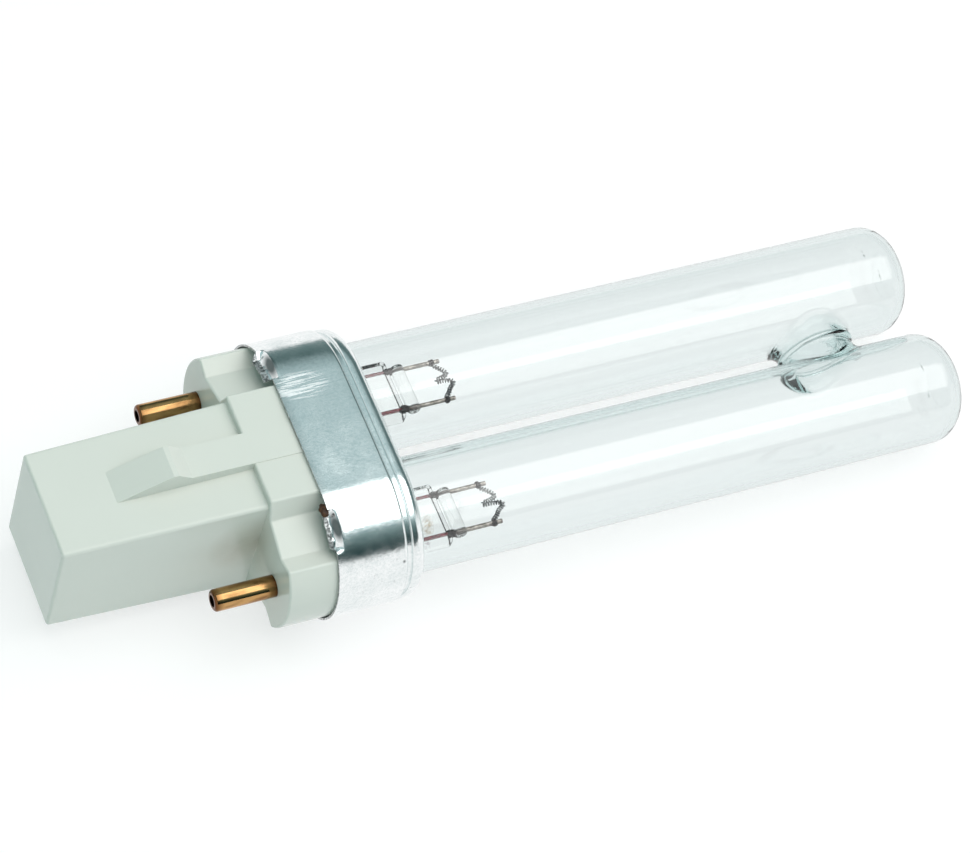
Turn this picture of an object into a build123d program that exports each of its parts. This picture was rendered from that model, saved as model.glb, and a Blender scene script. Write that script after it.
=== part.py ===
from build123d import *
from math import acos, cos, radians, sin
import os

# Twin-tube ultraviolet-C lamp with a two-pin plug-in base, lying on its broad side.
# Millimetres. +X runs along the lamp from the base post to the tube ends, +Y is the side of the
# left tube and +Z is up through the broad face. The origin is the middle of the pin face.

# Contact pins
PIN_SPACING = 23.0
PIN_DIAMETER = 2.4
PIN_SHANK_DIAMETER = 1.9
PIN_BORE = 1.3
PIN_LENGTH = 6.8
PIN_TIP_ROUND = 0.35
PIN_FLANGE_DIAMETER = 3.6
PIN_FLANGE = 0.6
PIN_TAIL = 0.9

# Glass tubes
TUBE_DIAMETER = 12.4
TUBE_WALL = 0.65
TUBE_GAP = 2.4
TUBE_REACH = 66.8
TUBE_END_ROUND = 3.2
BRIDGE_DIAMETER = 8.4
BRIDGE_WALL = 1.3
BRIDGE_SETBACK = 12.9
BRIDGE_FILLET = 1.0
BRIDGE_SEAM = 0.3

# Moulded base
BODY_HEIGHT = 17.6
PIN_EAR = 3.9
TUBE_MARGIN = 1.8
FRONT_EDGE_ROUND = 0.25
POST_LENGTH = 22.0
POST_WIDTH = 13.2
POST_HEIGHT = 15.6
POST_END_WIDTH = 12.4
POST_END_HEIGHT = 14.4
POST_WALL = 1.4
POST_CORNER = 0.4
POST_END_ROUND = 0.35
EAR_WALL = 3.0
EAR_END_WALL = 1.8
EAR_ROOM = 6.4

# Crimp notches in the body, between the pad and the round ends
NOTCH_LEAN = 0.9
NOTCH_STEP = 2.4
NOTCH_DEPTH = 3.8
NOTCH_RISE = 2.0
NOTCH_ROOM = 0.1
NOTCH_ROUND = 0.3

# Snap ridge and rail on both broad faces of the post
RAIL_WIDTH = 3.7
RAIL_STEP = 0.1
RIDGE_RISE = 1.1
RIDGE_FLAT = 0.5
RIDGE_BACK = 8.4
RIDGE_RAMP = 6.3
RIDGE_SLOPE = 1.6

# Drawn metal cap and its cement
CAP_BACK = 5.3
CAP_LENGTH = 10.1
CAP_SHEET = 0.35
CAP_FIT = 0.05
RIM_LENGTH = 2.2
RIM_STEP = 0.2
RIM_ROUND = 1.3
GROOVE_DEPTH = 0.55
GROOVE_WIDTH = 0.5
SHOULDER_ROUND = 0.5
GROOVE_ROUND = 0.25
DENT_DEPTH = 0.8
DENT_LENGTH = 1.2
DENT_ANGLE = 25.5
TUBE_HOLE_FIT = 0.15
CEMENT_DEPTH = 5.0
TUBE_TAIL = 1.0
BODY_STANDOFF = 1.0

# Electrode mounts in the tubes
FLARE_THICKNESS = 1.5
NECK_DIAMETER = 7.2
NECK_LENGTH = 3.0
STEM_WALL = 0.9
PRESS_SHOW = 5.6
PRESS_SIDE_ROOM = 1.95
PRESS_THICKNESS = 2.2
PRESS_ROUND = 0.7
PUMP_DIAMETER = 2.4
PUMP_BORE = 1.2
PUMP_LENGTH = 4.5
PUMP_TIP_ROUND = 0.9
LEAD_EDGE = 1.2
SEAL_WIRE = 0.4
SEAL_SHOW = 0.3
NICKEL_WIRE = 0.5
NICKEL_TIP = 0.9
BEAD_DIAMETER = 1.5
BEAD_OVERHANG = 0.5
BEAD_ROUND = 0.3
BEAD_SETBACK = 1.3
JOINT_SETBACK = 5.3
FILAMENT_COIL = 0.46
FILAMENT_BULGE = 1.5
FILAMENT_CURL = 0.4
FILAMENT_BEND = 0.24

# The right mount sits a little short, low and to the outside of its tube's axis
RIGHT_STEM_SETBACK = 0.6
RIGHT_STEM_SHIFT = 0.5
RIGHT_STEM_DROP = 0.7

# Starter, capacitor and wiring in the base
HOOKUP_WIRE = 0.5
HOOKUP_BEND = 0.8
HOOKUP_RUN = 2.0
PIN_WIRE_RUN = 1.6
PIN_WIRE_ENTRY = 0.9
PIN_WIRE_SETBACK = 1.5
CAPACITOR_THICKNESS = 3.0
CAPACITOR_LENGTH = 9.0
CAPACITOR_SIDE_ROOM = 0.9
CAPACITOR_ROUND = 0.8
STARTER_ROOM = 1.4
STARTER_LENGTH = 14.0
STARTER_SETBACK = 0.6
STARTER_GLASS = 0.5
STARTER_DOME = 2.0
STARTER_FOOT = 2.0
STARTER_LEAD_SPACING = 2.8
STARTER_LEAD_IN = 4.0
STARTER_LEAD_OUT = 3.0
STRIP_THICKNESS = 0.2
STRIP_WIDTH = 1.4
STRIP_LENGTH = 3.0
STRIP_RETURN = 2.0
STRIP_BEND = 0.9

SIDES = {"left": 1, "right": -1}

# Places worked out from the sizes above
tube_radius = TUBE_DIAMETER / 2
bore_radius = tube_radius - TUBE_WALL
tube_offset = (TUBE_DIAMETER + TUBE_GAP) / 2
body_radius = BODY_HEIGHT / 2
pin_reach = PIN_SPACING / 2 + PIN_EAR
tube_reach = tube_offset + tube_radius + TUBE_MARGIN
pad_half_width = POST_WIDTH / 2
body_half_width = max(pin_reach, tube_reach, pad_half_width + body_radius)
end_centre = body_half_width - body_radius
cap_radius = body_radius + CAP_FIT + CAP_SHEET
cap_front = CAP_BACK + CAP_LENGTH
rim_back = cap_front - RIM_LENGTH
cement_back = cap_front - CAP_SHEET - CEMENT_DEPTH
tube_back = cement_back - TUBE_TAIL
tube_end = cap_front + TUBE_REACH
body_length = tube_back - BODY_STANDOFF
press_width = 2 * (bore_radius - PRESS_SIDE_ROOM)
lead_offset = press_width / 2 - LEAD_EDGE


def slot(x, shrink, length, mode=Mode.ADD):
    """Add a stadium-shaped prism that starts at x, smaller all round than the cap by shrink."""
    radius = cap_radius - shrink
    with BuildSketch(Plane.YZ.offset(x)) as outline:
        SlotOverall(2 * (end_centre + radius), 2 * radius)
    extrude(outline.sketch, amount=length, mode=mode)


def tubes(x, radius, length, mode=Mode.ADD):
    """Add the pair of round bars that the two tubes follow."""
    with BuildSketch(Plane.YZ.offset(x)) as rounds:
        with GridLocations(2 * tube_offset, 0, 2, 1):
            Circle(radius)
    extrude(rounds.sketch, amount=length, mode=mode)


def wire(points, diameter, bend):
    """Add a round wire along straight runs joined by bends."""
    with BuildLine() as route:
        FilletPolyline(*points, radius=bend)
    with BuildSketch(Plane(origin=route.line @ 0, z_dir=route.line % 0)) as section:
        Circle(diameter / 2)
    sweep(section.sketch, path=route.line)


def rod(start, length, diameter, mode=Mode.ADD):
    """Add or cut a straight round bar that runs along +X from start."""
    with BuildSketch(Plane.YZ.offset(start[0])) as section:
        with Locations(start[1:]):
            Circle(diameter / 2)
    extrude(section.sketch, amount=length, mode=mode)


def save(part, name):
    part.label = name
    export_step(part, f"parts/{name}.step")


os.makedirs("parts", exist_ok=True)


# Base housing: stadium body with notches, tapered post, snap ridges, hollow inside
def post_half_height(x):
    """Half the post's height at x, which is zero at its root and negative along it."""
    return (POST_HEIGHT + (POST_HEIGHT - POST_END_HEIGHT) * x / POST_LENGTH) / 2


# Each notch ends on the round end just past the flat that a crimp dent presses across the cap
dent_half_angle = acos((body_radius + CAP_FIT - DENT_DEPTH) / body_radius)
notch_angle = radians(DENT_ANGLE) + dent_half_angle + NOTCH_ROOM / body_radius
notch_end = (end_centre + body_radius * sin(notch_angle), body_radius * cos(notch_angle))
notch_outline = [
    (pad_half_width, body_radius),
    (pad_half_width + NOTCH_LEAN, body_radius - NOTCH_STEP),
    (notch_end[0] - NOTCH_RISE, body_radius - NOTCH_DEPTH),
    notch_end,
]

rail_top = body_radius + RAIL_STEP
ridge_top = rail_top + RIDGE_RISE
ramp_foot = -RIDGE_BACK - RIDGE_RAMP
ridge_root = post_half_height(ramp_foot) - POST_WALL / 2
ridge_outline = [
    (ramp_foot, post_half_height(ramp_foot)),
    (-RIDGE_BACK - RIDGE_FLAT, ridge_top),
    (-RIDGE_BACK, ridge_top),
    (-RIDGE_BACK + RIDGE_SLOPE, rail_top),
    (CAP_BACK, rail_top),
    (CAP_BACK, ridge_root),
    (ramp_foot, ridge_root),
]

with BuildPart() as base_housing:
    with BuildSketch(Plane.YZ) as body_outline:
        with BuildLine():
            Polyline((0, 0), (0, body_radius), *notch_outline)
            RadiusArc(notch_outline[-1], (body_half_width, 0), body_radius)
            Line((body_half_width, 0), (0, 0))
        make_face()
        mirror(about=Plane.YZ)
        mirror(about=Plane.XZ)
        notch_corners = body_outline.vertices().filter_by(lambda v: abs(v.X) > 0 and abs(v.Y) > 0)
        fillet(notch_corners, NOTCH_ROUND)
    extrude(amount=body_length)
    fillet(base_housing.faces().sort_by(Axis.X)[0].edges(), FRONT_EDGE_ROUND)
    with BuildSketch(Plane.YZ):
        RectangleRounded(POST_WIDTH, POST_HEIGHT, POST_CORNER)
    with BuildSketch(Plane.YZ.offset(-POST_LENGTH)):
        RectangleRounded(POST_END_WIDTH, POST_END_HEIGHT, POST_CORNER)
    loft()
    fillet(base_housing.faces().sort_by(Axis.X)[0].edges(), POST_END_ROUND)
    with BuildSketch(Plane.XZ):
        Polygon(*ridge_outline, align=None)
        mirror(about=Plane.XZ)
    extrude(amount=RAIL_WIDTH / 2, both=True)
    with BuildSketch(Plane.YZ.offset(POST_WALL - POST_LENGTH)):
        Rectangle(POST_END_WIDTH - 2 * POST_WALL, POST_END_HEIGHT - 2 * POST_WALL)
    with BuildSketch(Plane.YZ):
        Rectangle(POST_WIDTH - 2 * POST_WALL, POST_HEIGHT - 2 * POST_WALL)
    loft(mode=Mode.SUBTRACT)
    with BuildSketch(Plane.YZ):
        Rectangle(POST_WIDTH - 2 * POST_WALL, POST_HEIGHT - 2 * POST_WALL)
    extrude(amount=body_length, mode=Mode.SUBTRACT)
    with BuildSketch(Plane.YZ.offset(EAR_WALL)):
        Rectangle(2 * (body_half_width - EAR_END_WALL), EAR_ROOM)
    extrude(amount=body_length, mode=Mode.SUBTRACT)
    with BuildSketch(Plane.YZ):
        with GridLocations(PIN_SPACING, 0, 2, 1):
            Circle(PIN_SHANK_DIAMETER / 2)
    extrude(amount=EAR_WALL, mode=Mode.SUBTRACT)
save(base_housing.part, "base_housing")


# Contact pins: hollow brass with a thinner shank through the ear, held by a flange inside
pin_root = EAR_WALL + PIN_FLANGE + PIN_TAIL
for side, sign in SIDES.items():
    with BuildPart() as contact_pin:
        pin_y = sign * PIN_SPACING / 2
        rod((-PIN_LENGTH, pin_y, 0), PIN_LENGTH, PIN_DIAMETER)
        fillet(contact_pin.edges().sort_by(Axis.X)[0], PIN_TIP_ROUND)
        rod((0, pin_y, 0), pin_root, PIN_SHANK_DIAMETER)
        rod((EAR_WALL, pin_y, 0), PIN_FLANGE, PIN_FLANGE_DIAMETER)
        rod((-PIN_LENGTH, pin_y, 0), PIN_LENGTH + pin_root, PIN_BORE, Mode.SUBTRACT)
    save(contact_pin.part, f"contact_pin_{side}")


# Metal cap: drawn cup with a grooved, rounded front rim and four crimp dents at its back edge
rim_inside = GROOVE_DEPTH + CAP_SHEET
groove_front = rim_back + GROOVE_WIDTH


def press_dents(radius):
    """Cut the four sloping crimp dents out of a stadium prism with this end radius."""
    lean = Vector(0, 0, 1).rotate(Axis.X, -DENT_ANGLE)
    for side in (1, -1):
        for face in (1, -1):
            across = Vector(0, -face * lean.Z, side * lean.Y)
            middle = (CAP_BACK, side * end_centre, 0)
            with BuildSketch(Plane(origin=middle, x_dir=(1, 0, 0), z_dir=across)) as wedge:
                Polygon(
                    (0, radius - DENT_DEPTH),
                    (DENT_LENGTH, radius),
                    (DENT_LENGTH, 2 * radius),
                    (0, 2 * radius),
                    align=None,
                )
            extrude(wedge.sketch, amount=radius, both=True, mode=Mode.SUBTRACT)


with BuildPart() as cap_inside:
    slot(CAP_BACK, CAP_SHEET, rim_back - SHOULDER_ROUND - CAP_BACK)
    press_dents(cap_radius - CAP_SHEET)
    slot(CAP_BACK + DENT_LENGTH, rim_inside, CAP_LENGTH - DENT_LENGTH - CAP_SHEET)

with BuildPart() as metal_cap:
    slot(CAP_BACK, 0, rim_back - CAP_BACK)
    fillet(metal_cap.faces().sort_by(Axis.X)[-1].edges(), SHOULDER_ROUND)
    press_dents(cap_radius)
    slot(groove_front, RIM_STEP, cap_front - groove_front)
    fillet(metal_cap.faces().sort_by(Axis.X)[-1].edges(), RIM_ROUND)
    fillet(metal_cap.edges().filter_by_position(Axis.X, groove_front, groove_front), GROOVE_ROUND)
    slot(rim_back - SHOULDER_ROUND, GROOVE_DEPTH, GROOVE_WIDTH + RIM_LENGTH / 2)
    add(cap_inside.part, mode=Mode.SUBTRACT)
    tubes(cement_back, tube_radius + TUBE_HOLE_FIT, cap_front - cement_back, Mode.SUBTRACT)
save(metal_cap.part, "metal_cap")

# Basing cement: fills the front of the cap around the tubes
with BuildPart() as basing_cement:
    slot(cement_back, CAP_SHEET, rim_back - SHOULDER_ROUND - cement_back)
    slot(cement_back, rim_inside, CEMENT_DEPTH)
    tubes(cement_back, tube_radius, CEMENT_DEPTH, Mode.SUBTRACT)
save(basing_cement.part, "basing_cement")


# Glass envelope: two closed tubes and the bridge near their ends, one fused piece
bridge_x = tube_end - BRIDGE_SETBACK


def bridge(diameter):
    with BuildSketch(Plane.XZ) as section:
        with Locations((bridge_x, 0)):
            Circle(diameter / 2)
    extrude(section.sketch, amount=tube_offset, both=True)


def bridge_seam(diameter):
    """Round ring where the two halves of the bridge were fused."""
    with Locations((bridge_x, 0, 0)):
        Torus(diameter / 2, BRIDGE_SEAM, rotation=(90, 0, 0))


with BuildPart() as tube_bores:
    tubes(tube_back, bore_radius, tube_end - TUBE_WALL - tube_back)
    fillet(tube_bores.faces().group_by(Axis.X)[-1].edges(), TUBE_END_ROUND - TUBE_WALL)
    bridge(BRIDGE_DIAMETER - 2 * BRIDGE_WALL)
    fillet(tube_bores.edges().filter_by(GeomType.BSPLINE), BRIDGE_FILLET + TUBE_WALL)

with BuildPart() as glass_envelope:
    tubes(tube_back, tube_radius, tube_end - tube_back)
    fillet(glass_envelope.faces().group_by(Axis.X)[-1].edges(), TUBE_END_ROUND)
    bridge(BRIDGE_DIAMETER)
    fillet(glass_envelope.edges().filter_by(GeomType.BSPLINE), BRIDGE_FILLET)
    bridge_seam(BRIDGE_DIAMETER)
    add(tube_bores.part, mode=Mode.SUBTRACT)
save(glass_envelope.part, "glass_envelope")


# Electrode mounts: in each tube a stem, a bead, two wires in two lengths each, and a filament
def mount_places(side):
    """The mount's axis in its tube, its press front and the y of its outer and inner wires."""
    axis = (SIDES[side] * tube_offset, 0)
    press_front = cap_front + PRESS_SHOW
    if side == "right":
        axis = (axis[0] - RIGHT_STEM_SHIFT, -RIGHT_STEM_DROP)
        press_front -= RIGHT_STEM_SETBACK
    step = SIDES[side] * lead_offset
    return axis, press_front, {"outer": axis[0] + step, "inner": axis[0] - step}


def filament_route(axis, joint_x):
    """Centre line of the coil, from wire to wire, with a small curl back at its middle.

    Each point of its shape is a share of the bulge, of the way to a wire and of the curl.
    """
    across = lead_offset - NICKEL_WIRE / 2
    shape = [
        (0.0, 1.0, 0.0),
        (0.0, 0.8, 0.0),
        (0.5, 0.55, 0.0),
        (0.65, 0.22, 0.25),
        (0.05, 0.05, 1.0),
        (0.05, -0.02, -1.0),
        (1.0, -0.12, -0.25),
        (0.5, -0.5, 0.0),
        (0.3, -0.75, 0.0),
        (0.0, -0.85, 0.0),
        (0.0, -1.0, 0.0),
    ]
    return [
        (joint_x + forward * FILAMENT_BULGE, axis[0] + out * across, axis[1] + up * FILAMENT_CURL)
        for forward, out, up in shape
    ]


for side, sign in SIDES.items():
    axis, press_front, lead_y = mount_places(side)
    neck_front = tube_back + FLARE_THICKNESS + NECK_LENGTH
    bead_x = press_front + BEAD_SETBACK
    joint_x = press_front + JOINT_SETBACK
    nickel_back = press_front + SEAL_SHOW

    with BuildPart() as stem:
        with BuildSketch(Plane.YZ.offset(tube_back + FLARE_THICKNESS)):
            with Locations(axis):
                RectangleRounded(press_width, PRESS_THICKNESS, PRESS_ROUND)
        extrude(amount=press_front - tube_back - FLARE_THICKNESS)
        fillet(stem.faces().sort_by(Axis.X)[-1].edges(), PRESS_ROUND / 2)
        rod((tube_back, *axis), neck_front - tube_back, NECK_DIAMETER)
        rod((tube_back, sign * tube_offset, 0), FLARE_THICKNESS, 2 * bore_radius)
        neck_bore = NECK_DIAMETER - 2 * STEM_WALL
        rod((tube_back, *axis), neck_front - STEM_WALL - tube_back, neck_bore, Mode.SUBTRACT)
        rod((tube_back, *axis), neck_front - tube_back, PUMP_DIAMETER)
        rod((tube_back - PUMP_LENGTH, *axis), PUMP_LENGTH, PUMP_DIAMETER)
        fillet(stem.faces().sort_by(Axis.X)[0].edges(), PUMP_TIP_ROUND)
        pump_start = tube_back - PUMP_LENGTH + PUMP_DIAMETER / 2
        rod((pump_start, *axis), neck_front + PUMP_BORE - pump_start, PUMP_BORE, Mode.SUBTRACT)
        with BuildSketch(Plane.XY.offset(axis[1])):
            with Locations((neck_front + PUMP_BORE / 2, axis[0])):
                Circle(PUMP_BORE / 2)
        extrude(amount=PRESS_THICKNESS, mode=Mode.SUBTRACT)
        for y in lead_y.values():
            rod((tube_back, y, axis[1]), press_front - tube_back, SEAL_WIRE, Mode.SUBTRACT)
    save(stem.part, f"stem_{side}")

    with BuildPart() as bead:
        with BuildSketch(Plane.XZ.offset(-axis[0])):
            with Locations((bead_x, axis[1])):
                Circle(BEAD_DIAMETER / 2)
        extrude(amount=lead_offset + BEAD_OVERHANG, both=True)
        fillet(bead.edges().filter_by(GeomType.CIRCLE), BEAD_ROUND)
        for y in lead_y.values():
            rod((bead_x - BEAD_DIAMETER, y, axis[1]), 2 * BEAD_DIAMETER, NICKEL_WIRE, Mode.SUBTRACT)
    save(bead.part, f"bead_{side}")

    for place, y in lead_y.items():
        with BuildPart() as seal_wire:
            rod((tube_back, y, axis[1]), nickel_back - tube_back, SEAL_WIRE)
        save(seal_wire.part, f"seal_wire_{side}_{place}")
        with BuildPart() as nickel_lead:
            rod((nickel_back, y, axis[1]), joint_x + NICKEL_TIP - nickel_back, NICKEL_WIRE)
        save(nickel_lead.part, f"nickel_lead_{side}_{place}")

    with BuildPart() as filament:
        wire(filament_route(axis, joint_x), FILAMENT_COIL, FILAMENT_BEND)
    save(filament.part, f"filament_{side}")


# Starter and capacitor, laid in the post: the capacitor on its floor and the bulb on the capacitor
post_room = POST_END_HEIGHT - 2 * POST_WALL
post_room_width = POST_END_WIDTH - 2 * POST_WALL
store_back = POST_WALL - POST_LENGTH + STARTER_SETBACK
capacitor_width = post_room_width - 2 * CAPACITOR_SIDE_ROOM
capacitor_z = (CAPACITOR_THICKNESS - post_room) / 2
capacitor_front = store_back + CAPACITOR_LENGTH
starter_diameter = min(post_room - CAPACITOR_THICKNESS, post_room_width) - STARTER_ROOM
starter_z = capacitor_z + (CAPACITOR_THICKNESS + starter_diameter) / 2
starter_front = store_back + STARTER_LENGTH
starter_lead_end = starter_front + STARTER_LEAD_OUT
strip_x = starter_front - STARTER_FOOT - STARTER_LEAD_IN

with BuildPart() as capacitor:
    with BuildSketch(Plane.YZ.offset(store_back)):
        with Locations((0, capacitor_z)):
            RectangleRounded(capacitor_width, CAPACITOR_THICKNESS, CAPACITOR_ROUND)
    extrude(amount=CAPACITOR_LENGTH)
    fillet(capacitor.faces().group_by(Axis.X)[0].edges(), CAPACITOR_ROUND / 2)
    fillet(capacitor.faces().group_by(Axis.X)[-1].edges(), CAPACITOR_ROUND / 2)
save(capacitor.part, "capacitor")

with BuildPart() as starter_inside:
    inside_length = STARTER_LENGTH - STARTER_FOOT - STARTER_GLASS
    rod((store_back + STARTER_GLASS, 0, starter_z), inside_length, starter_diameter - 2 * STARTER_GLASS)
    fillet(starter_inside.edges().sort_by(Axis.X)[0], STARTER_DOME - STARTER_GLASS)

with BuildPart() as starter_bulb:
    rod((store_back, 0, starter_z), STARTER_LENGTH, starter_diameter)
    fillet(starter_bulb.edges().sort_by(Axis.X)[0], STARTER_DOME)
    add(starter_inside.part, mode=Mode.SUBTRACT)
    for sign in SIDES.values():
        hole = (starter_front - 2 * STARTER_FOOT, sign * STARTER_LEAD_SPACING / 2, starter_z)
        rod(hole, 2 * STARTER_FOOT, HOOKUP_WIRE, Mode.SUBTRACT)
save(starter_bulb.part, "starter_bulb")

with BuildPart() as bimetal_strip:
    with BuildSketch(Plane.XY.offset(starter_z - STRIP_WIDTH / 2)):
        with BuildLine():
            strip_start = (strip_x - STRIP_THICKNESS / 2, STARTER_LEAD_SPACING / 2)
            leg = Line(strip_start, (strip_x - STRIP_LENGTH, STARTER_LEAD_SPACING / 2))
            bow = JernArc(leg @ 1, leg % 1, STRIP_BEND, 180)
            Line(bow @ 1, (bow @ 1) + (bow % 1) * STRIP_RETURN)
        trace(line_width=STRIP_THICKNESS)
    extrude(amount=STRIP_WIDTH)
save(bimetal_strip.part, "bimetal_strip")

# Wiring: starter leads, capacitor leads, and the wires from the stems to the pins and the starter
for side, sign in SIDES.items():
    axis, press_front, lead_y = mount_places(side)
    pin_y = sign * PIN_SPACING / 2
    starter_y = sign * STARTER_LEAD_SPACING / 2

    with BuildPart() as starter_lead:
        rod((strip_x, starter_y, starter_z), starter_lead_end - strip_x, HOOKUP_WIRE)
    save(starter_lead.part, f"starter_lead_{side}")

    with BuildPart() as capacitor_lead:
        corner_x = starter_lead_end - STARTER_LEAD_OUT / 2
        route = [
            (capacitor_front, starter_y, capacitor_z),
            (corner_x, starter_y, capacitor_z),
            (corner_x, starter_y, starter_z - HOOKUP_WIRE / 2),
        ]
        wire(route, HOOKUP_WIRE, HOOKUP_BEND)
    save(capacitor_lead.part, f"capacitor_lead_{side}")

    with BuildPart() as starter_wire:
        route = [
            (tube_back, lead_y["inner"], axis[1]),
            (tube_back - HOOKUP_RUN, lead_y["inner"], axis[1]),
            (starter_lead_end + HOOKUP_RUN, starter_y, starter_z),
            (starter_lead_end, starter_y, starter_z),
        ]
        wire(route, HOOKUP_WIRE, HOOKUP_BEND)
    save(starter_wire.part, f"starter_wire_{side}")

    with BuildPart() as pin_wire:
        route = [
            (tube_back, lead_y["outer"], axis[1]),
            (tube_back - PIN_WIRE_RUN, lead_y["outer"], axis[1]),
            (pin_root + PIN_WIRE_ENTRY, pin_y, 0),
            (PIN_WIRE_SETBACK - PIN_LENGTH, pin_y, 0),
        ]
        wire(route, HOOKUP_WIRE, HOOKUP_BEND)
    save(pin_wire.part, f"pin_wire_{side}")
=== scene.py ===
from math import atan, cos, pi, radians, sin

import bmesh
import bpy
from mathutils import Matrix, Vector, noise


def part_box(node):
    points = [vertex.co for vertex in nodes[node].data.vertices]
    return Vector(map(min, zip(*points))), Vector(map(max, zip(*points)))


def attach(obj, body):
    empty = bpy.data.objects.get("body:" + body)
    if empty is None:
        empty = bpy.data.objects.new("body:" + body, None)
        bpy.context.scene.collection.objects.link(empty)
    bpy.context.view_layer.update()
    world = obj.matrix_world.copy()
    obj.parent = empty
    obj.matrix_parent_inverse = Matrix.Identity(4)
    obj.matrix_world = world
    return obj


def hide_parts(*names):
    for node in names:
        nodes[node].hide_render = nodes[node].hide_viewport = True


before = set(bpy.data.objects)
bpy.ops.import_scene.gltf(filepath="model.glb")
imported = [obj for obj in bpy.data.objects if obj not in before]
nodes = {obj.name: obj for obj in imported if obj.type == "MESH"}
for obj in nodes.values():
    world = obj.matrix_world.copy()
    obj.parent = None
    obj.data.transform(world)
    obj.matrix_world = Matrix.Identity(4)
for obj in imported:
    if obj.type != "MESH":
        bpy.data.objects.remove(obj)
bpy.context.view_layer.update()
MM = 0.001
SIDES = ("left", "right")
PLACES = ("outer", "inner")

# The photograph's camera: angles in degrees, lengths in metres, pixels for the image and the focal length
IMAGE_WIDTH = 970
SENSOR_WIDTH = 36.0
FOCAL_PIXELS = 3736.1
CAMERA_AZIMUTH = -40.69
CAMERA_ELEVATION = 55.47
CAMERA_ROLL = 21.81
CAMERA_DISTANCE = 0.400
CAMERA_TARGET = Vector((0.02911, 0.00072, 0.0))
CAMERA_NEAR = 0.01

# Studio, metres: an overhead softbox, a card, a panel and a flag that only mirrors see, and a pale floor
SOFTBOX_PLACE = Vector((0.30, -0.12, 0.62))
SOFTBOX_SIZE = (1.00, 0.64)
SOFTBOX_POWER = 4.1
SOFTBOX_COLOUR = (1.0, 0.94, 0.92)
CARD_PLACE = Vector((0.25, -0.95, 0.66))
CARD_SIZE = (1.8, 0.88)
CARD_DARK = (0.015, 0.042, 0.043)
CARD_TOP = (0.21, 0.31, 0.31)
CARD_FADE = (-0.21, 0.39)
FLOOR_SIZE = 6.0
FLOOR_TONE = (0.86, 0.87, 0.87)
FLOOR_GLOW = 0.66
FLOOR_SHADE = 0.38
FLOOR_TOUCH = 1e-6
FLOOR_STEP = 0.0005
PANEL_PLACE = Vector((0.89, 0.65, 1.12))
PANEL_SIZE = (5.8, 4.4)
PANEL_TURN = radians(36)
PANEL_LIGHT = (0.455, 0.59, 0.605)
PANEL_DARK = (0.07, 0.12, 0.12)
PANEL_FADE = (-0.5, 0.9)
FLAG_PLACE = Vector((1.54, 1.12, 0.55))
FLAG_SIZE = (4.4, 1.14)
FLAG_LOW = (0.16, 0.24, 0.24)
FLAG_FADE = (-0.57, 0.57)
DOME_TONE = (0.44, 0.565, 0.57)
DOME_BEHIND = (0.15, 0.33, 0.30)
DOME_FADE = (-0.9, -0.2)

# Drawn cap, millimetres, as its solid has them
CAP_SHEET = 0.35
BACK_SHEET = 0.22
SHOULDER_ROUND = 0.5
GROOVE_DEPTH = 0.55
GROOVE_WIDTH = 0.5
GROOVE_ROUND = 0.25
RIM_LENGTH = 2.2
RIM_STEP = 0.2
RIM_ROUND = 1.3
HOLE_FIT = 0.15
CROWN = 0.08
EDGE_FLARE = 0.07
EDGE_LENGTH = 1.1
CAP_SPACING = 0.26
CAP_STEP = 0.08
BAND_RINGS = 10
SHOULDER_RINGS = 8
GROOVE_RINGS = 5
RIM_RINGS = 14

# Crimped tabs at the cap's back edge: degrees from the broad face, and millimetres
TAB_ANGLE = {"left": 18.0, "right": 29.0}
TAB_HALF_WIDTH = {"left": 2.35, "right": 2.3}
TAB_REACH = {"left": 0.6, "right": 0.4}
TAB_BEND = 1.0
TAB_LIP = 0.25
TAB_DEPTH = 0.8
TAB_CORNER = 0.45
TAB_RAGGED = 0.12
WAVE_SCALE = (1.9, 1.3)
RIPPLE_SCALE = (2.7, 2.5)
RIPPLE_LAYER = 4
# Half widths of the painted shade and dark reflection on each slope down to a crimped tab
CRIMP_SHADE_SIZE = (0.75, 2.3, 1.3)

# Electrode coils, millimetres, with the coil's line as shares of its bulge, of its half span and of its curl
COIL_WIRE = 0.16
COIL_DIAMETER = 0.56
COIL_PITCH = 0.29
COIL_BULGE = {"left": 1.5, "right": 1.8}
COIL_START = {"left": 1, "right": -1}
COIL_CURL = 0.2
COIL_SIDES = 7
TURN_POINTS = 12
LEAD_TIP = 0.9
COIL_LINE = [
    (0.0, 1.0, 0.0),
    (0.08, 0.82, 0.0),
    (0.45, 0.58, 0.0),
    (0.72, 0.3, 0.4),
    (0.42, 0.12, 1.0),
    (-0.06, 0.06, 0.7),
    (-0.1, 0.0, -0.7),
    (0.4, 0.0, -1.0),
    (0.95, -0.1, -0.5),
    (0.95, -0.28, 0.0),
    (0.6, -0.46, 0.0),
    (0.35, -0.68, 0.0),
    (0.05, -0.86, 0.0),
    (0.0, -1.0, 0.0),
]

# Weld knots on the leads and clamps on the coils' ends, millimetres
KNOT_SIZE = (0.7, 0.42, 0.42)
CLAMP_SIZE = (0.4, 0.36, 0.36)
LUMP_ROUGHNESS = 0.4
LUMP_SCALE = 1.7
LUMP_SHIFT = 3

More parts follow.
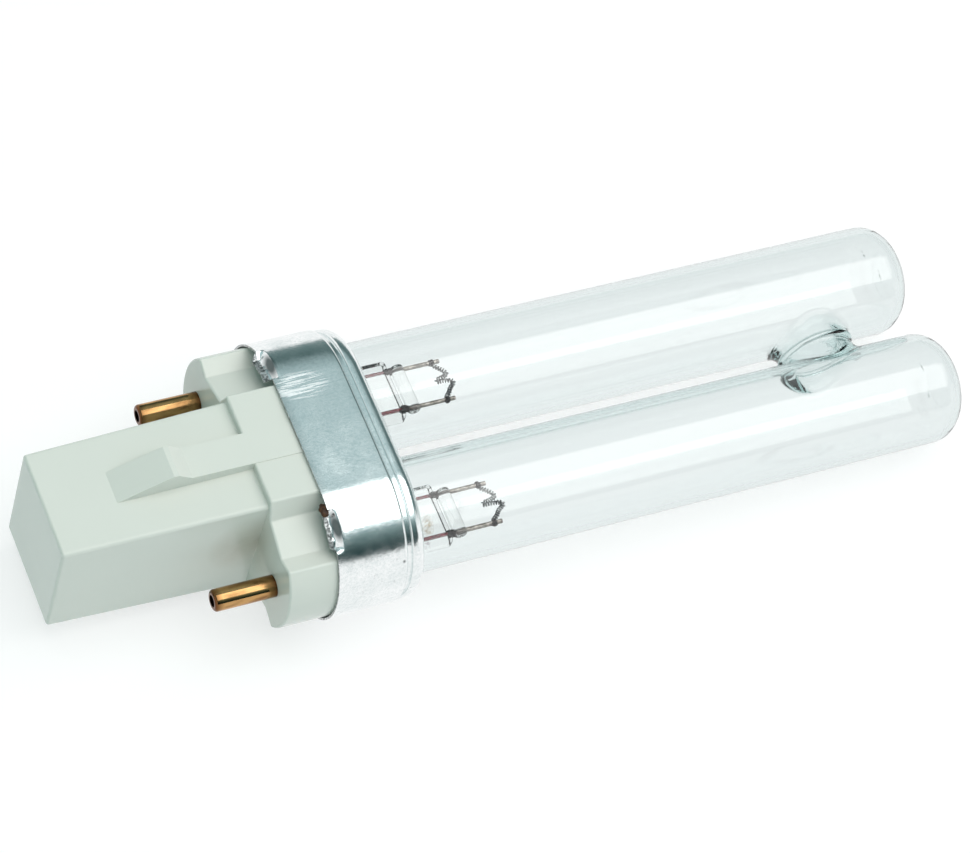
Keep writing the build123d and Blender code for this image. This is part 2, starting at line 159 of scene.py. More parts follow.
# A dab of brown glue in a crimp notch, and stains and scuffs on the tube glass: place and half widths
GLUE_PLACE = Vector((5.05, -8.8, 8.55))
GLUE_SIZE = (0.45, 0.75, 0.34)
BROWN, PURPLE, GREY = (0.40, 0.24, 0.07), (0.16, 0.06, 0.12), (0.16, 0.19, 0.18)
STAINS = [
    ((16.5, -11.6, 4.6), (0.7, 1.6, 1.4), BROWN),
    ((16.2, -12.8, 3.2), (0.5, 0.5, 0.9), PURPLE),
    ((18.1, -2.6, 3.9), (0.9, 0.35, 0.4), GREY),
    ((22.7, -3.1, 4.5), (1.0, 0.3, 0.35), GREY),
    ((78.0, 4.7, 5.6), (0.2, 0.8, 0.5), GREY),
    ((77.0, 7.3, 6.2), (0.16, 0.9, 0.3), GREY),
    ((77.0, -8.0, 6.2), (0.16, 0.7, 0.3), GREY),
    ((76.8, -10.8, 5.2), (0.2, 0.7, 0.6), GREY),
]
SEAM_COLOUR = (0.34, 0.42, 0.41)
SEAM_WIDTH = (0.05, 0.13)
SCORCHED = (0.045, 0.035, 0.03)

# Marks on the plastic and the aluminium, and a brown patch of painted corner shade on the plastic,
# millimetres: place and half widths
# The first place and half widths are for a brown patch of painted corner shade where the post meets the ear
CORNER_SHADE_PLACE, CORNER_SHADE_SIZE = (-1.2, -6.8, 1.2), (4.6, 3.0, 5.5)
SCRATCH_PLACE, SCRATCH_SIZE = (7.9, 5.7, 9.1), (4.2, 2.4, 3.0)
SPECK_PLACE, SPECK_SIZE = (12.6, -14.6, 4.4), (0.22, 0.2, 0.3)
SMUDGE_EDGE = (-13.2, -12.0)
TIP_TARNISH = 1.0
ROOT_TARNISH = 1.6


class Shader:
    """A material's node tree, with short calls to add and link nodes."""

    def __init__(self, name):
        self.material = bpy.data.materials.new(name)
        self.material.use_nodes = True
        self.tree = self.material.node_tree
        self.tree.nodes.clear()
        self.output = self.node("OutputMaterial")
        self.spot = self.node("TexCoord").outputs["Object"]

    def node(self, kind, **settings):
        made = self.tree.nodes.new("ShaderNode" + kind)
        for key, value in settings.items():
            setattr(made, key, value)
        return made

    def put(self, value, socket):
        """Set a socket to a plain value, or link it to another socket."""
        if isinstance(value, bpy.types.NodeSocket):
            self.tree.links.new(value, socket)
        else:
            socket.default_value = value

    def fill(self, node, values):
        for key, value in values.items():
            self.put(value, node.inputs[key])
        return node

    def principled(self, **values):
        shader = self.node("BsdfPrincipled")
        return self.fill(shader, {key.replace("_", " "): value for key, value in values.items()})

    def stretch(self, scale):
        """The object's coordinates scaled on each axis, for grain that runs one way."""
        mapping = self.node("Mapping")
        return self.fill(mapping, {"Vector": self.spot, "Scale": scale}).outputs["Vector"]

    def noise(self, scale, detail=4.0, rough=0.55, vector=None):
        texture = self.node("TexNoise")
        values = {"Scale": scale, "Detail": detail, "Roughness": rough}
        self.fill(texture, {"Vector": vector or self.spot, **values})
        return texture.outputs["Fac"]

    def axis(self, name):
        split = self.node("SeparateXYZ")
        self.put(self.spot, split.inputs[0])
        return split.outputs[name]

    def spot_mask(self, place, size):
        """One near a place, in millimetres, and fading to zero at an ellipsoid of these half widths."""
        mapping = self.node("Mapping", vector_type="TEXTURE")
        self.fill(mapping, {"Vector": self.spot, "Location": Vector(place) * MM, "Scale": Vector(size) * MM})
        length = self.node("VectorMath", operation="LENGTH")
        self.put(mapping.outputs["Vector"], length.inputs[0])
        return self.level(length.outputs["Value"], 1.0, 0.0)

    def ramp(self, factor, *stops):
        """A colour ramp with stops of (position, colour), where a colour may be a plain grey level."""
        ramp = self.node("ValToRGB")
        self.put(factor, ramp.inputs["Fac"])
        elements = ramp.color_ramp.elements
        while len(elements) < len(stops):
            elements.new(1.0)
        for element, (position, colour) in zip(elements, stops):
            element.position = position
            element.color = (*colour, 1) if isinstance(colour, tuple) else (colour, colour, colour, 1)
        return ramp.outputs["Color"]

    def level(self, factor, low, high, start=0.0, end=1.0):
        """A factor between start and end spread over low to high."""
        spread = self.node("MapRange")
        ends = {"From Min": start, "From Max": end, "To Min": low, "To Max": high}
        self.fill(spread, {"Value": factor, **ends})
        return spread.outputs["Result"]

    def mix(self, factor, first, second):
        mixer = self.node("Mix", data_type="RGBA")
        self.put(factor, mixer.inputs[0])
        for value, socket in ((first, mixer.inputs[6]), (second, mixer.inputs[7])):
            self.put((*value, 1) if isinstance(value, tuple) else value, socket)
        return mixer.outputs[2]

    def math(self, operation, first, second=0.5):
        made = self.node("Math", operation=operation)
        self.put(first, made.inputs[0])
        self.put(second, made.inputs[1])
        return made.outputs[0]

    def bump(self, height, strength, distance, under=None):
        bump = self.node("Bump")
        self.fill(bump, {"Height": height, "Strength": strength, "Distance": distance})
        if under:
            self.put(under, bump.inputs["Normal"])
        return bump.outputs["Normal"]

    def finish(self, shader):
        self.put(shader.outputs[0], self.output.inputs["Surface"])
        return self.material


def dress(material, *names):
    """Give CAD nodes a material in place of their plain one."""
    for name in names:
        mesh = nodes[name].data
        mesh.materials.clear()
        mesh.materials.append(material)


# Materials
def moulded_plastic():
    """Off-white moulding, slightly glossy, with faint flow clouds and a brown patch of painted corner shade
    where the post meets the ear by one pin.
    """
    s = Shader("moulded_plastic")
    cloud = s.noise(120, 3)
    colour = s.mix(cloud, (0.695, 0.705, 0.65), (0.725, 0.735, 0.68))
    patchy = s.level(s.noise(500, 4), 0.2, 0.9)
    # painted corner shade: a brown, darker patch where the post meets the ear stands in for the shade in
    # that corner
    smear = s.math("MULTIPLY", s.spot_mask(CORNER_SHADE_PLACE, CORNER_SHADE_SIZE), patchy)
    colour = s.mix(smear, colour, (0.46, 0.42, 0.33))
    grain = s.noise(5200, 2)
    return s.finish(s.principled(
        Base_Color=colour, Roughness=s.level(cloud, 0.18, 0.27), IOR=1.46,
        Normal=s.bump(grain, 0.03, 0.02 * MM)))


def polished_brass(tip, root):
    """Turned brass that has tarnished at both ends of the pin, between its tip and root x."""
    s = Shader("polished_brass")
    rings = s.noise(900, 3, vector=s.stretch((6, 1, 1)))
    stain = s.ramp(s.noise(900, 4, vector=s.stretch((0.3, 1, 1))), (0.40, 0.0), (0.66, 1.0))
    along = s.axis("X")
    tip_dark = s.level(along, 1.0, 0.0, tip, tip + TIP_TARNISH * MM)
    root_dark = s.level(along, 0.0, 1.0, root - ROOT_TARNISH * MM, root)
    dark = s.math("MAXIMUM", s.math("MAXIMUM", tip_dark, root_dark), s.math("MULTIPLY", stain, 0.7))
    colour = s.mix(dark, (0.54, 0.32, 0.13), (0.12, 0.046, 0.016))
    return s.finish(s.principled(
        Base_Color=colour, Metallic=1.0, Roughness=s.level(stain, 0.11, 0.22),
        Normal=s.bump(rings, 0.12, 0.03 * MM)))


def drawn_aluminium(back, crimps):
    """Bare drawn sheet, mottled and scratched, with painted shade and dark reflection on the slopes down to
    the crimps, and a torn back edge.
    """
    s = Shader("drawn_aluminium")
    mottle = s.noise(3400, 5, 0.75)
    blotch = s.noise(420, 5, 0.65)
    dull = s.ramp(blotch, (0.36, 0.0), (0.66, 1.0))
    lines = s.ramp(s.noise(5600, 3, vector=s.stretch((0.035, 1, 1))), (0.45, 0.0), (0.56, 1.0))
    worn = s.ramp(s.noise(300, 3, 0.6), (0.40, 0.0), (0.62, 1.0))
    scratched = s.level(s.spot_mask(SCRATCH_PLACE, SCRATCH_SIZE), 0.0, 1.0, 0.0, 0.5)
    patch = s.math("MAXIMUM", scratched, s.math("MULTIPLY", worn, 0.2))
    cuts = s.math("MULTIPLY", lines, patch)
    smudge = s.ramp(s.noise(900, 5, 0.7), (0.60, 0.0), (0.70, 1.0))
    near_side = s.level(s.axis("Y"), 1.0, 0.0, *(edge * MM for edge in SMUDGE_EDGE))
    speck = s.spot_mask(SPECK_PLACE, SPECK_SIZE)
    colour = s.mix(dull, (0.94, 0.965, 0.965), (0.84, 0.885, 0.885))
    colour = s.mix(s.ramp(mottle, (0.42, 0.0), (0.64, 1.0)), colour, s.mix(0.4, colour, (0.60, 0.69, 0.69)))
    smudged = s.math("MULTIPLY", s.math("MULTIPLY", smudge, near_side), 0.5)
    colour = s.mix(smudged, colour, (0.40, 0.44, 0.45))
    colour = s.mix(speck, colour, (0.06, 0.07, 0.07))
    colour = s.mix(cuts, colour, (0.98, 0.99, 0.99))
    # painted shade and dark reflection: the slopes down to the crimps are darkened to stand in for the shade
    # and dark reflections there
    for place in crimps:
        crimp_shade = s.level(s.spot_mask(place, CRIMP_SHADE_SIZE), 0.0, 0.95, 0.0, 0.5)
        colour = s.mix(crimp_shade, colour, (0.07, 0.095, 0.095))
    rough = s.math("MAXIMUM", s.level(dull, 0.13, 0.24), s.math("MULTIPLY", cuts, 0.5))
    torn = s.level(s.axis("X"), 1.0, 0.0, back - 0.02 * MM, back + 0.08 * MM)
    foil = s.ramp(s.noise(3200, 4, 0.6), (0.40, (0.12, 0.13, 0.13)), (0.62, (0.66, 0.68, 0.68)))
    normal = s.bump(mottle, 0.12, 0.02 * MM, s.bump(blotch, 0.35, 0.08 * MM))
    return s.finish(s.principled(
        Base_Color=s.mix(torn, colour, foil), Metallic=1.0,
        Roughness=s.math("MAXIMUM", rough, s.math("MULTIPLY", torn, 0.5)), Normal=normal))


def clear_glass(name, absorbed, density, index, stains=(), seam=None):
    """Clear glass that absorbs a little, with draw lines, smears, stains and a seam where y is zero."""
    s = Shader(name)
    draw_lines = s.noise(900, 2, vector=s.stretch((0.02, 1, 1)))
    smear = s.ramp(s.noise(240, 4), (0.55, 0.0), (0.8, 1.0))
    tint = s.mix(s.ramp(draw_lines, (0.42, 0.0), (0.62, 1.0)), (1.0, 1.0, 1.0), (0.985, 0.985, 0.985))
    for place, size, colour in stains:
        broken = s.ramp(s.noise(2600, 4, 0.6), (0.42, 0.0), (0.56, 1.0))
        tint = s.mix(s.math("MULTIPLY", s.spot_mask(place, size), broken), tint, colour)
    if seam:
        inside, outside = (width * MM for width in SEAM_WIDTH)
        tint = s.mix(s.level(s.math("ABSOLUTE", s.axis("Y")), 1.0, 0.0, inside, outside), tint, seam)
    glass = s.principled(
        Base_Color=tint, Roughness=s.level(smear, 0.0, 0.02), IOR=index, Transmission_Weight=1.0,
        Normal=s.bump(draw_lines, 0.006, 0.05 * MM))
    light_path = s.node("LightPath")
    clear = s.fill(s.node("BsdfTransparent"), {"Color": (0.94, 0.96, 0.95, 1)})
    mixed = s.node("MixShader")
    s.put(light_path.outputs["Is Shadow Ray"], mixed.inputs["Fac"])
    s.put(glass.outputs[0], mixed.inputs[1])
    s.put(clear.outputs[0], mixed.inputs[2])
    bulk = s.fill(s.node("VolumeAbsorption"), {"Color": (*absorbed, 1), "Density": density})
    s.put(bulk.outputs[0], s.output.inputs["Volume"])
    return s.finish(mixed)


def metal(name, colour, worn, roughness, scale=2500, scorch=None):
    """A wire or strip metal that varies between two tones, and is scorched dark behind an x."""
    s = Shader(name)
    cloud = s.noise(scale, 4)
    tone = s.mix(s.ramp(cloud, (0.4, 0.0), (0.65, 1.0)), colour, worn)
    if scorch:
        tone = s.mix(s.level(s.axis("X"), 1.0, 0.0, scorch - 0.5 * MM, scorch + 0.3 * MM), tone, SCORCHED)
    return s.finish(s.principled(
        Base_Color=tone, Metallic=1.0, Roughness=s.level(cloud, roughness - 0.08, roughness + 0.1),
        Normal=s.bump(cloud, 0.1, 0.02 * MM)))


def matte(name, colour, speckle, roughness, scale):
    """A dull material speckled with a second tone."""
    s = Shader(name)
    cloud = s.noise(scale, 5, 0.6)
    tone = s.mix(s.ramp(cloud, (0.42, 0.0), (0.6, 1.0)), colour, speckle)
    return s.finish(s.principled(
        Base_Color=tone, Roughness=roughness, Specular_IOR_Level=0.2, Normal=s.bump(cloud, 0.3, 0.05 * MM)))


# Pieces that replace or join the solids
def add_piece(name, mesh, material, slot, *replaced):
    """Put a mesh in the scene as a piece of the lamp."""
    piece = bpy.data.objects.new(name, mesh)
    bpy.context.scene.collection.objects.link(piece)
    mesh.materials.append(material)
    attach(piece, "root")
    if replaced:
        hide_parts(*replaced)


def smooth_mesh(name, bm, sharp=40):
    """A mesh from bmesh data, smooth apart from its sharp edges."""
    bmesh.ops.recalc_face_normals(bm, faces=bm.faces)
    mesh = bpy.data.meshes.new(name)
    bm.to_mesh(mesh)
    bm.free()
    mesh.shade_smooth()
    mesh.set_sharp_from_angle(angle=radians(sharp))
    return mesh


def ease(value):
    """A smooth step from 0 to 1."""
    value = min(max(value, 0), 1)
    return value * value * (3 - 2 * value)


def quarter_round(centre, radius, start, steps):
    """Points on a quarter turn in a profile of (x, inset), back from a start angle in degrees."""
    turns = (radians(start - 90 * step / steps) for step in range(steps + 1))
    return [(centre[0] + radius * cos(turn), centre[1] - radius * sin(turn)) for turn in turns]


def spread(first, last, count):
    return [first + (last - first) * step / count for step in range(count + 1)]


class Cap:
    """The drawn cap: a thin cup of stadium outline, made of rings that follow a profile."""

    def __init__(self):
        low, high = (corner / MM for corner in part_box("metal_cap"))
        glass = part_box("glass_envelope")[1] / MM
        self.back, self.front, self.radius = low.x, high.x, high.z
        self.centre = high.y - self.radius
        self.hole_radius = glass.z + HOLE_FIT
        self.hole_centre = glass.y - glass.z
        self.flat = 2 * self.centre
        self.arc = pi * self.radius
        self.around = 2 * (self.flat + self.arc)
        self.bm = bmesh.new()

    def tab(self, along):
        """How far a place on the outline is in a crimped tab, from 0 to 1, and how far that tab reaches."""
        for side in SIDES:
            away = self.radius * radians(TAB_ANGLE[side])
            start = self.flat if side == "right" else 2 * self.flat + self.arc
            for middle in (start + away, start + self.arc - away):
                gap = (along - middle + self.around / 2) % self.around - self.around / 2
                if abs(gap) < TAB_HALF_WIDTH[side]:
                    return ease((TAB_HALF_WIDTH[side] - abs(gap)) / TAB_CORNER), TAB_REACH[side]
        return 0, 0

    def stations(self):
        """Places round the outline: the y that their arc or flat is centred on, angle, distance and tab."""
        count = round(self.around / CAP_SPACING)
        for step in range(count):
            along = self.around * step / count
            half, rest = divmod(along, self.flat + self.arc)
            side = 1 if half == 0 else -1
            across = side * (self.centre - min(rest, self.flat))
            angle = half * pi + max(rest - self.flat, 0) / self.radius
            yield across, angle, along, self.tab(along)

    def place(self, station, x, inset):
        """The point at a place round the outline, with the crimped tabs bent down into their notches."""
        across, angle, along, (tab, reach) = station
        inset += CROWN * (across / self.centre) ** 2
        inset -= (1 - tab) * EDGE_FLARE * max(1 - (x - self.back) / EDGE_LENGTH, 0) ** 2
        if tab:
            wave = noise.noise(Vector((along * WAVE_SCALE[0], x * WAVE_SCALE[1], 0)))
            ripple = noise.noise(Vector((along * RIPPLE_SCALE[0], x * RIPPLE_SCALE[1], RIPPLE_LAYER)))
            inset += tab * (TAB_DEPTH + TAB_RAGGED * ripple) * ease(1 - (x - self.back) / TAB_BEND)
            x -= tab * (reach + TAB_RAGGED * wave) * max(1 - (x - self.back) / TAB_LIP, 0)
        radius = self.radius - inset
        return Vector((x, across - radius * sin(angle), radius * cos(angle))) * MM

    def crimps(self):
        """The middles of the slopes down to the tabs, in millimetres."""
        x = self.back + TAB_BEND / 2
        for side, sign in zip(SIDES, (1, -1)):
            angle = radians(TAB_ANGLE[side])
            for face in (1, -1):
                yield x, sign * (self.centre + self.radius * sin(angle)), face * self.radius * cos(angle)

    def ring(self, x, inset):
        return [self.bm.verts.new(self.place(station, x, inset)) for station in self.outline]

    def hole(self, x, side):
        count = round(2 * pi * self.hole_radius / CAP_SPACING)
        middle = Vector((x, side * self.hole_centre, 0))
        turns = (2 * pi * step / count for step in range(count))
        ways = (Vector((0, cos(turn), sin(turn))) for turn in turns)
        return [self.bm.verts.new((middle + self.hole_radius * way) * MM) for way in ways]

    def join(self, first, second):
        """Faces between two rings of as many points."""
        for step in range(len(first)):
            self.bm.faces.new((first[step - 1], first[step], second[step], second[step - 1]))

    def plate(self, *rings):
        """A flat face inside the first ring, with the other rings as its holes."""
        pairs = [(ring[step - 1], ring[step]) for ring in rings for step in range(len(ring))]
        edges = [self.bm.edges.get(pair) or self.bm.edges.new(pair) for pair in pairs]
        bmesh.ops.triangle_fill(self.bm, use_beauty=True, edges=edges)

    def build(self):
        self.outline = list(self.stations())
        rim_back = self.front - RIM_LENGTH
        groove_front = rim_back + GROOVE_WIDTH
        shoulder = rim_back - SHOULDER_ROUND
        rim_inside = GROOVE_DEPTH + CAP_SHEET
        bend_end = self.back + max(TAB_BEND, EDGE_LENGTH)
        near_edge = spread(self.back, bend_end, round((bend_end - self.back) / CAP_STEP))
        outer = [(x, 0) for x in near_edge + spread(bend_end, shoulder, BAND_RINGS)[1:-1]]
        outer += quarter_round((shoulder, SHOULDER_ROUND), SHOULDER_ROUND, 90, SHOULDER_RINGS)
        outer += [(rim_back, GROOVE_DEPTH), (groove_front, GROOVE_DEPTH)]
        rim_edge = (groove_front + GROOVE_ROUND, RIM_STEP + GROOVE_ROUND)
        outer += quarter_round(rim_edge, GROOVE_ROUND, 180, GROOVE_RINGS)
        outer += quarter_round((self.front - RIM_ROUND, RIM_STEP + RIM_ROUND), RIM_ROUND, 90, RIM_RINGS)
        inner = [(x, BACK_SHEET) for x in near_edge] + [(shoulder, CAP_SHEET), (shoulder, rim_inside)]
        inner += [(self.front - CAP_SHEET, rim_inside)]
        outer_rings = [self.ring(*point) for point in outer]
        inner_rings = [self.ring(*point) for point in inner]
        for rings in (outer_rings, inner_rings):
            for first, second in zip(rings, rings[1:]):
                self.join(first, second)
        self.join(outer_rings[0], inner_rings[0])
        front_holes = [self.hole(self.front, side) for side in (1, -1)]
        back_holes = [self.hole(self.front - CAP_SHEET, side) for side in (1, -1)]
        for front_hole, back_hole in zip(front_holes, back_holes):
            self.join(front_hole, back_hole)
        self.plate(outer_rings[-1], *front_holes)
        self.plate(inner_rings[-1], *back_holes)
        return smooth_mesh("metal_cap_skin", self.bm)


def curve_through(points, steps):
    """A smooth line through points, with so many steps from each to the next."""
    ends = [2 * points[0] - points[1], *points, 2 * points[-1] - points[-2]]
    line = []
    for before, first, second, after in zip(ends, ends[1:], ends[2:], ends[3:]):
        for step in range(steps):
            t = step / steps
            line.append(0.5 * (
                2 * first + (second - before) * t + (2 * before - 5 * first + 4 * second - after) * t**2
                + (3 * first - before - 3 * second + after) * t**3))
    return line + [points[-1]]


def carried_frames(line):
    """Each point of a line with its direction and a side that turns as little as it can."""
    side = (line[1] - line[0]).orthogonal().normalized()
    for step, point in enumerate(line):
        way = (line[min(step + 1, len(line) - 1)] - line[max(step - 1, 0)]).normalized()
        side = (side - side.dot(way) * way).normalized()
        yield point, way, side


def wound(line, radius, pitch):
    """A helix about a line."""
    travelled = 0
    last = line[0]
    coil = []
    for point, way, side in carried_frames(line):
        travelled += (point - last).length
        last = point
        turn = 2 * pi * travelled / pitch
        coil.append(point + radius * (cos(turn) * side + sin(turn) * way.cross(side)))
    return coil


def round_wire(bm, line, radius, sides):
    """Add a round wire along a line, with closed ends."""
    rings = []
    for point, way, side in carried_frames(line):
        turns = (2 * pi * step / sides for step in range(sides))
        over = way.cross(side)
        rings.append([bm.verts.new(point + radius * (cos(t) * side + sin(t) * over)) for t in turns])
    for first, second in zip(rings, rings[1:]):
        for step in range(sides):
            bm.faces.new((first[step - 1], first[step], second[step], second[step - 1]))
    bm.faces.new(rings[0])
    bm.faces.new(rings[-1])


def mount_leads(side):
    """The outer and inner lead's y, their z, and the x of the coil's joints and of their back ends."""
    boxes = [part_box(f"nickel_lead_{side}_{place}") for place in PLACES]
    middles = [(low + high) / 2 / MM for low, high in boxes]
    low, high = boxes[0]
    return middles[0].y, middles[1].y, middles[0].z, high.x / MM - LEAD_TIP, low.x / MM


def coil_mesh(side):
    outer, inner, z, joint, _ = mount_leads(side)
    middle = (outer + inner) / 2
    reach = COIL_START[side] * (outer - inner) / 2
    points = [
        Vector((joint + ahead * COIL_BULGE[side], middle + out * reach, z + up * COIL_CURL))
        for ahead, out, up in COIL_LINE
    ]
    radius = (COIL_DIAMETER - COIL_WIRE) / 2
    length = sum((second - first).length for first, second in zip(points, points[1:]))
    steps = round(length / COIL_PITCH * TURN_POINTS / (len(points) - 1))
    coil = wound(curve_through(points, steps), radius, COIL_PITCH)
    bm = bmesh.new()
    round_wire(bm, [point * MM for point in coil], COIL_WIRE / 2 * MM, COIL_SIDES)
    return smooth_mesh(f"filament_{side}_coil", bm)


def lump_mesh(name, place, size):
    """A small uneven lump of metal or glue, sizes as half widths in millimetres."""
    bm = bmesh.new()
    bmesh.ops.create_icosphere(bm, subdivisions=3, radius=1)
    for vert in bm.verts:
        swell = 1 + LUMP_ROUGHNESS * noise.noise(vert.co * LUMP_SCALE + place * LUMP_SHIFT)
        vert.co = (Vector(a * b for a, b in zip(vert.co, size)) * swell + place) * MM
    return smooth_mesh(name, bm, 180)


# Dressing the solids
dress(moulded_plastic(), "base_housing")
pin_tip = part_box("contact_pin_left")[0].x
dress(polished_brass(pin_tip, 0.0), *(f"contact_pin_{side}" for side in SIDES))
dress(clear_glass("tube_glass", (0.66, 0.785, 0.78), 390, 1.48, STAINS, SEAM_COLOUR), "glass_envelope")
dress(clear_glass("stem_glass", (0.7, 0.75, 0.72), 60, 1.2), *(f"stem_{side}" for side in SIDES))
dress(clear_glass("bead_glass", (0.7, 0.75, 0.72), 120, 1.43), *(f"bead_{side}" for side in SIDES))
dress(clear_glass("starter_glass", (0.7, 0.75, 0.72), 80, 1.48), "starter_bulb")
copper = metal("seal_wire_copper", (0.30, 0.03, 0.05), (0.16, 0.015, 0.03), 0.4)
for side in SIDES:
    bead_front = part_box(f"bead_{side}")[1].x
    nickel = metal(f"nickel_wire_{side}", (0.36, 0.33, 0.30), (0.10, 0.085, 0.075), 0.3, scorch=bead_front)
    dress(nickel, *(f"nickel_lead_{side}_{place}" for place in PLACES))
    dress(copper, *(f"seal_wire_{side}_{place}" for place in PLACES))
tinned = metal("tinned_wire", (0.72, 0.71, 0.69), (0.55, 0.54, 0.52), 0.3)
for wire in ("starter_lead", "capacitor_lead", "starter_wire", "pin_wire"):
    dress(tinned, *(f"{wire}_{side}" for side in SIDES))
dress(metal("strip_metal", (0.58, 0.56, 0.53), (0.44, 0.42, 0.40), 0.35), "bimetal_strip")
dress(matte("basing_cement", (0.60, 0.56, 0.49), (0.46, 0.42, 0.36), 0.9, 1600), "basing_cement")
dress(matte("capacitor_coat", (0.52, 0.22, 0.04), (0.44, 0.17, 0.03), 0.3, 400), "capacitor")

# Adding the pieces
cap = Cap()
aluminium = drawn_aluminium(cap.back * MM, list(cap.crimps()))
add_piece("metal_cap_skin", cap.build(), aluminium, "aluminium_cap", "metal_cap")
glue = matte("brown_glue", (0.10, 0.045, 0.02), (0.03, 0.015, 0.01), 0.4, 2200)
add_piece("glue_dab", lump_mesh("glue_dab", GLUE_PLACE, GLUE_SIZE), glue, "cement")
tungsten = metal("coated_tungsten", (0.06, 0.06, 0.065), (0.48, 0.48, 0.48), 0.45, 1300)
weld = matte("weld_scale", (0.012, 0.01, 0.01), (0.04, 0.03, 0.03), 0.6, 3000)
for side in SIDES:
    add_piece(f"filament_{side}_coil", coil_mesh(side), tungsten, "tungsten", f"filament_{side}")
    outer, inner, z, joint, back = mount_leads(side)
    for place, y in zip(PLACES, (outer, inner)):
        knot = f"weld_{side}_{place}"
        add_piece(knot, lump_mesh(knot, Vector((back, y, z)), KNOT_SIZE), weld, "nickel")
        clamp = f"clamp_{side}_{place}"
        add_piece(clamp, lump_mesh(clamp, Vector((joint, y, z)), CLAMP_SIZE), weld, "nickel")


# Studio
def resting_line():
    """The point and slope of the surface that the lamp comes to rest on, under its cap and tube ends."""
    cap_points = [v.co for v in nodes["metal_cap"].data.vertices]
    lowest = min(v.z for v in cap_points)
    foot = max((v for v in cap_points if v.z < lowest + FLOOR_TOUCH), key=lambda v: v.x)
    ahead = [v.co for name in ("metal_cap", "glass_envelope") for v in nodes[name].data.vertices]
    slope = min((v.z - foot.z) / (v.x - foot.x) for v in ahead if v.x > foot.x + FLOOR_STEP)
    return foot.copy(), slope


def sheet(name, size, place, rotation):
    mesh = bpy.data.meshes.new(name)
    x, y = size[0] / 2, size[1] / 2
    mesh.from_pydata([(-x, -y, 0), (x, -y, 0), (x, y, 0), (-x, y, 0)], [], [(0, 1, 2, 3)])
    made = bpy.data.objects.new(name, mesh)
    made.location = place
    made.rotation_euler = rotation
    bpy.context.scene.collection.objects.link(made)
    return made


def floor_material():
    """White to the eye and in reflections, with the lamp's shadow, and a plain pale floor to other light."""
    s = Shader("studio_floor")
    pale = s.fill(s.node("BsdfDiffuse"), {"Color": (*FLOOR_TONE, 1)})
    shade = s.fill(s.node("BsdfDiffuse"), {"Color": (FLOOR_SHADE, FLOOR_SHADE, FLOOR_SHADE, 1)})
    glow = s.fill(s.node("Emission"), {"Strength": FLOOR_GLOW})
    seen = s.node("AddShader")
    s.put(shade.outputs[0], seen.inputs[0])
    s.put(glow.outputs[0], seen.inputs[1])
    path = s.node("LightPath")
    sight = s.math("MAXIMUM", path.outputs["Is Camera Ray"], path.outputs["Is Transmission Ray"])
    mixed = s.node("MixShader")
    s.put(sight, mixed.inputs["Fac"])
    s.put(pale.outputs[0], mixed.inputs[1])
    s.put(seen.outputs[0], mixed.inputs[2])
    mirrored = s.node("MixShader")
    s.put(path.outputs["Is Glossy Ray"], mirrored.inputs["Fac"])
    s.put(mixed.outputs[0], mirrored.inputs[1])
    s.put(s.fill(s.node("Emission"), {"Strength": 1.0}).outputs[0], mirrored.inputs[2])
    return s.finish(mirrored)


def faded_sheet(name, size, place, rotation, axis, fade, first, last):
    """A sheet that only mirrors see, which fades between two tones along one of its axes."""
    s = Shader(name)
    tone = s.mix(s.level(s.axis(axis), 0.0, 1.0, *fade), first, last)
    made = sheet(name, size, place, rotation)
    made.data.materials.append(s.finish(s.fill(s.node("Emission"), {"Color": tone})))
    made.visible_camera = made.visible_transmission = made.visible_diffuse = made.visible_shadow = False


foot, slope = resting_line()
floor = sheet("floor", (FLOOR_SIZE, FLOOR_SIZE), foot, (0, -atan(slope), 0))
floor.data.materials.append(floor_material())

faded_sheet(
    "dark_card", CARD_SIZE, CARD_PLACE, (radians(90), 0, 0), "Y", CARD_FADE, CARD_DARK, CARD_TOP)
faded_sheet(
    "grey_panel", PANEL_SIZE, PANEL_PLACE, (0, 0, PANEL_TURN), "X", PANEL_FADE, PANEL_LIGHT, PANEL_DARK)
upright = (radians(90), 0, PANEL_TURN - radians(90))
faded_sheet("dark_flag", FLAG_SIZE, FLAG_PLACE, upright, "Y", FLAG_FADE, FLAG_LOW, PANEL_DARK)

light = bpy.data.lights.new("softbox", "AREA")
light.shape = "RECTANGLE"
light.size, light.size_y = SOFTBOX_SIZE
light.energy = SOFTBOX_POWER
light.color = SOFTBOX_COLOUR
softbox = bpy.data.objects.new("softbox", light)
softbox.location = SOFTBOX_PLACE
softbox.visible_camera = False
bpy.context.scene.collection.objects.link(softbox)

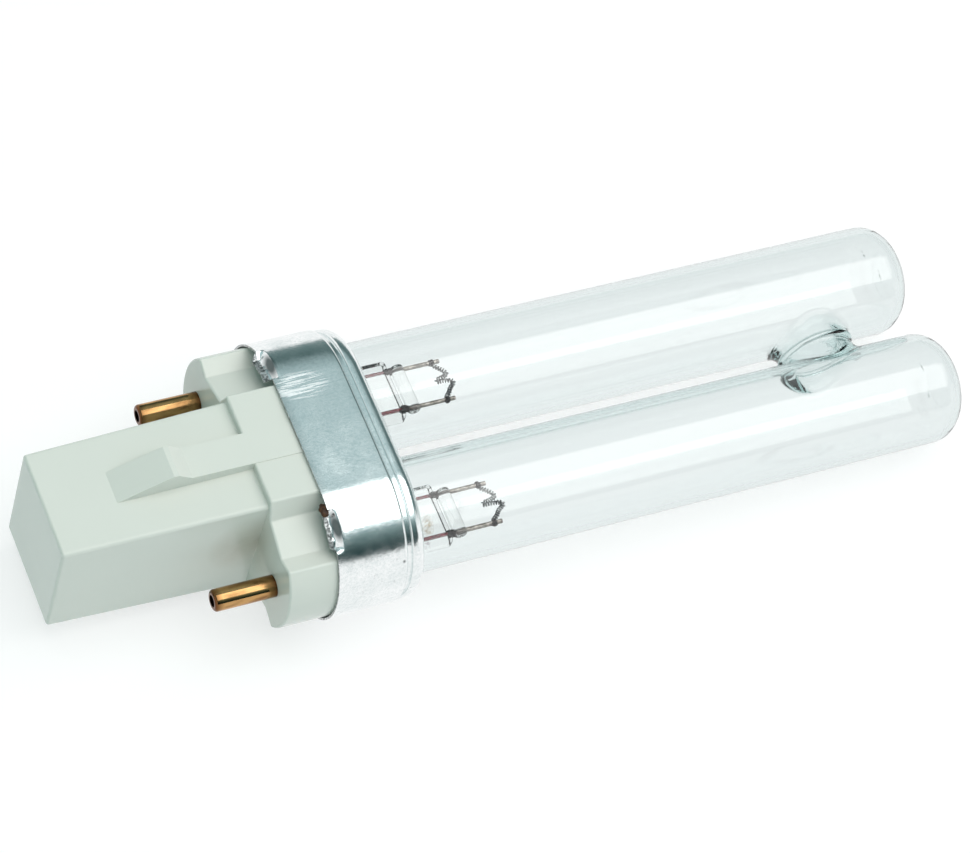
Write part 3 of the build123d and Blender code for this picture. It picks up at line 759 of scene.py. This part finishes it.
# World: white where it is seen, mirrored or seen through glass, and grey to other light, dim behind the base
world = bpy.data.worlds.new("studio_dome")
bpy.context.scene.world = world
world.use_nodes = True
dome = world.node_tree
dome_path = dome.nodes.new("ShaderNodeLightPath")
dome_shown = dome_path.outputs["Is Camera Ray"]
for ray in ("Is Transmission Ray", "Is Glossy Ray"):
    either = dome.nodes.new("ShaderNodeMath")
    either.operation = "MAXIMUM"
    dome.links.new(dome_shown, either.inputs[0])
    dome.links.new(dome_path.outputs[ray], either.inputs[1])
    dome_shown = either.outputs[0]
dome_way = dome.nodes.new("ShaderNodeTexCoord")
dome_split = dome.nodes.new("ShaderNodeSeparateXYZ")
dome.links.new(dome_way.outputs["Generated"], dome_split.inputs[0])
dome_fade = dome.nodes.new("ShaderNodeMapRange")
dome_fade.inputs["From Min"].default_value, dome_fade.inputs["From Max"].default_value = DOME_FADE
dome.links.new(dome_split.outputs["X"], dome_fade.inputs["Value"])
dome_grey = dome.nodes.new("ShaderNodeMix")
dome_grey.data_type = "RGBA"
dome_grey.inputs[6].default_value = (*DOME_BEHIND, 1)
dome_grey.inputs[7].default_value = (*DOME_TONE, 1)
dome.links.new(dome_fade.outputs["Result"], dome_grey.inputs[0])
dome_mix = dome.nodes.new("ShaderNodeMix")
dome_mix.data_type = "RGBA"
dome.links.new(dome_grey.outputs[2], dome_mix.inputs[6])
dome_mix.inputs[7].default_value = (1, 1, 1, 1)
dome.links.new(dome_shown, dome_mix.inputs[0])
dome.links.new(dome_mix.outputs[2], dome.nodes["Background"].inputs["Color"])

# Camera
azimuth, elevation, roll = (radians(a) for a in (CAMERA_AZIMUTH, CAMERA_ELEVATION, CAMERA_ROLL))
outward = Vector((sin(azimuth) * cos(elevation), -cos(azimuth) * cos(elevation), sin(elevation)))
level = Vector((0, 0, 1)).cross(outward).normalized()
lens = bpy.data.cameras.new("photo_camera")
lens.sensor_width = SENSOR_WIDTH
lens.lens = FOCAL_PIXELS / IMAGE_WIDTH * SENSOR_WIDTH
lens.clip_start = CAMERA_NEAR
camera = bpy.data.objects.new("photo_camera", lens)
turn = Matrix((level, outward.cross(level), outward)).transposed() @ Matrix.Rotation(roll, 3, "Z")
camera.matrix_world = Matrix.Translation(CAMERA_TARGET + outward * CAMERA_DISTANCE) @ turn.to_4x4()
bpy.context.scene.collection.objects.link(camera)
bpy.context.scene.camera = camera
bpy.context.scene.view_settings.view_transform = "Standard"
